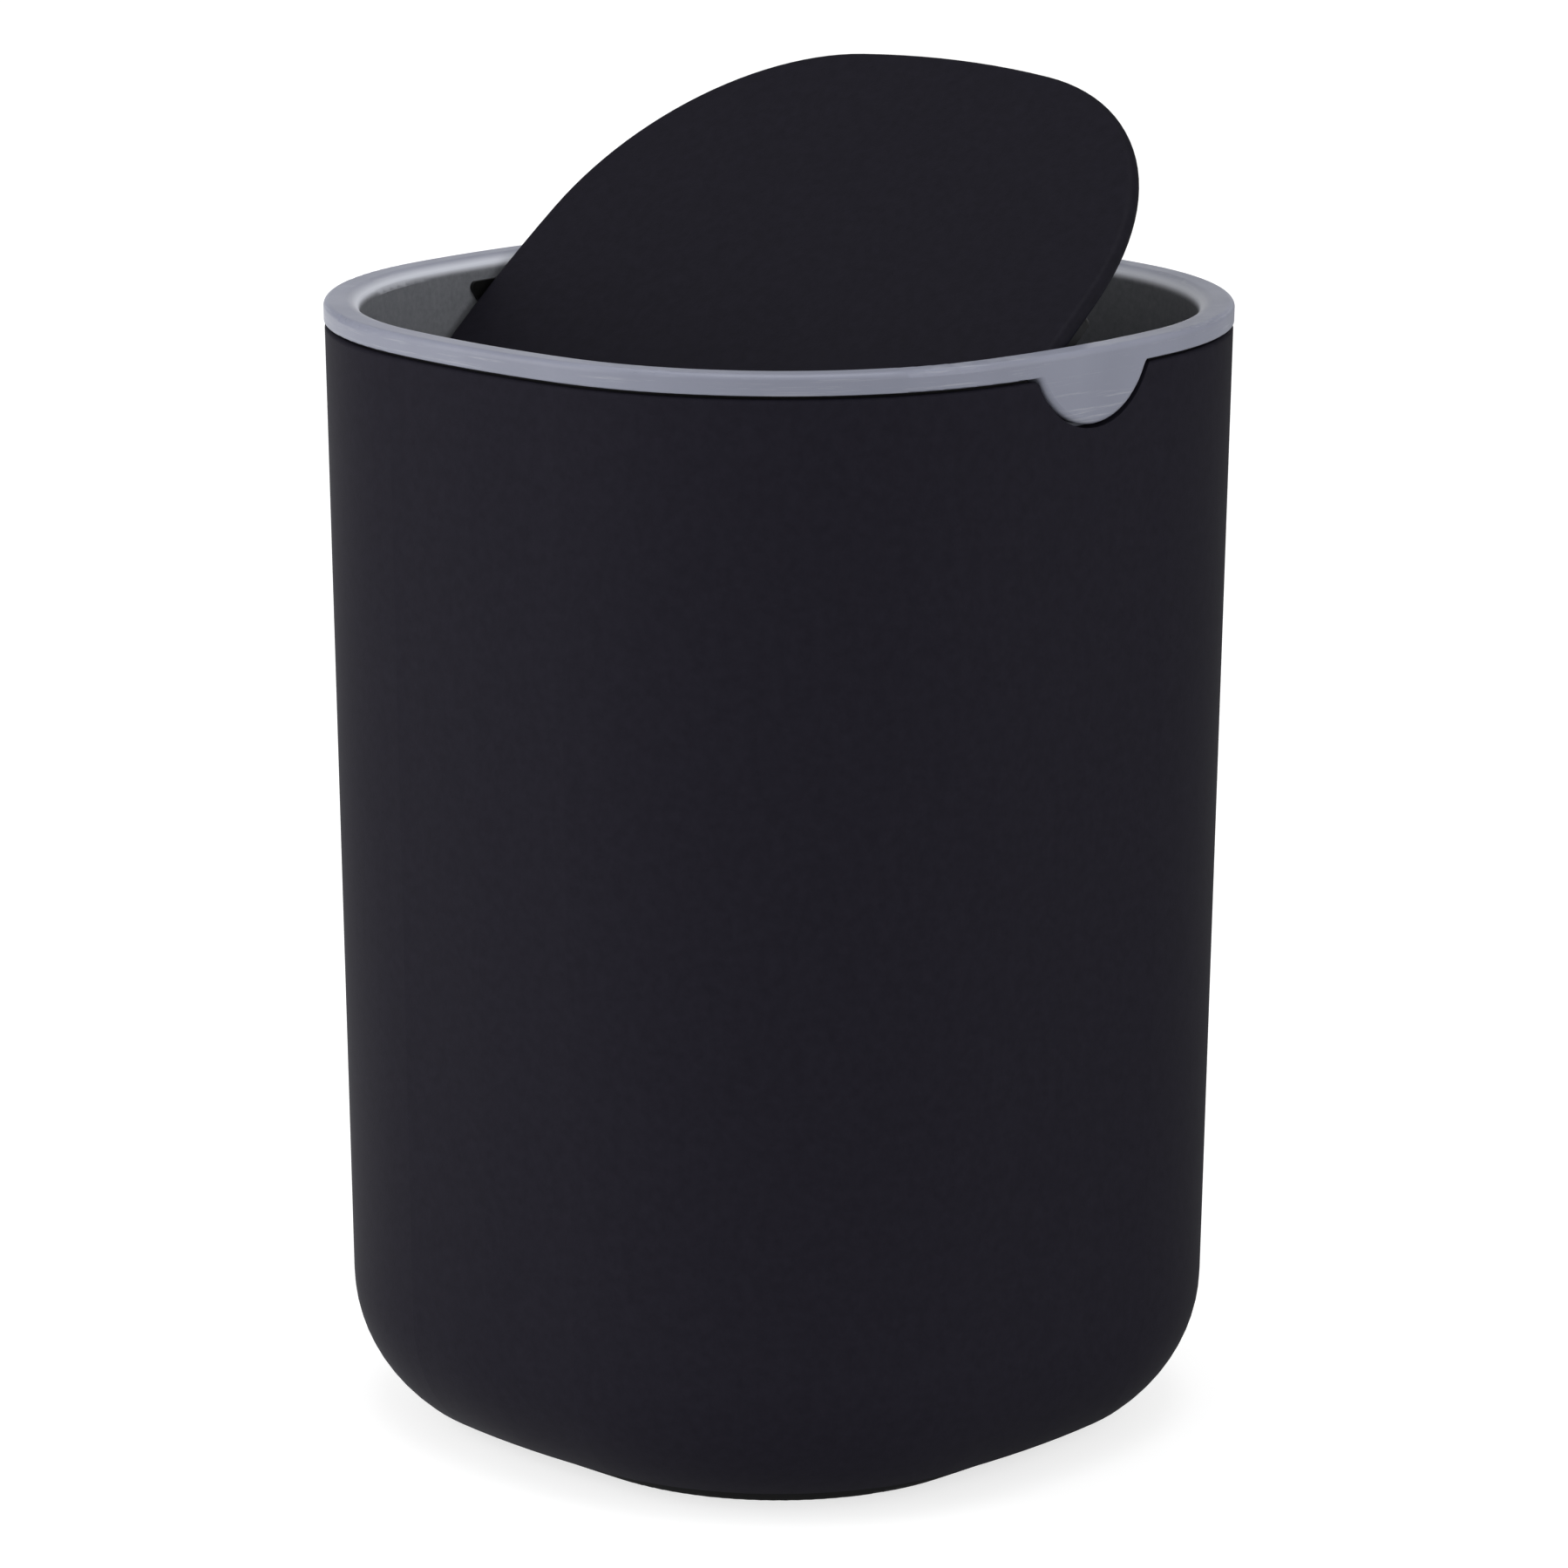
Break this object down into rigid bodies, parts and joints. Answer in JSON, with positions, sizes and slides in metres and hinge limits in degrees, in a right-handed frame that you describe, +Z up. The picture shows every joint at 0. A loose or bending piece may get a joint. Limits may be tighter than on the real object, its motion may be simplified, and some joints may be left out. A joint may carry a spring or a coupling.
{
  "type": "tabletop trash can",
  "caption": "Small rounded-square tabletop bin with a tapered tub, a lift-off collar with a half-round pull tab, and a flat lid that swings on pins in the collar.",
  "frame": {"origin": "bottom centre of the foot, on the surface that the bin stands on", "axes": "+Z up, +X towards the pull tab; the lid's pivot pins lie along X"},
  "size_m": [0.1252, 0.1252, 0.1997],
  "materials": {
    "tub_black": "matt moulded black",
    "lid_black": "matt moulded black",
    "collar_grey": "satin moulded cool grey",
    "bearing_black": "smooth black acetal",
    "foot_rubber": "matt black elastomer",
    "seal_rubber": "matt black elastomer",
    "pin_steel": "turned stainless steel"
  },
  "bodies": {
    "bin": {"bin_body": "tub_black", "base_foot": "foot_rubber"},
    "collar": {"rim_collar": "collar_grey", "rim_seal": "seal_rubber", "pivot_bearing_right": "bearing_black", "pivot_bearing_left": "bearing_black"},
    "lid": {"lid_panel": "lid_black", "hinge_bracket_right": "bearing_black", "hinge_bracket_left": "bearing_black", "pivot_pin_right": "pin_steel", "pivot_pin_left": "pin_steel", "bracket_screws": "pin_steel"}
  },
  "joints": [
    {"name": "collar_lift", "type": "slide", "parent": "bin", "child": "collar", "axis": [0, 0, 1], "range_m": [0, 0.07]},
    {"name": "lid_swing", "type": "hinge", "parent": "collar", "child": "lid", "pos_m": [0, 0, 0.16285], "axis": [1, 0, 0], "range_deg": [-128.8, 51.2]}
  ]
}
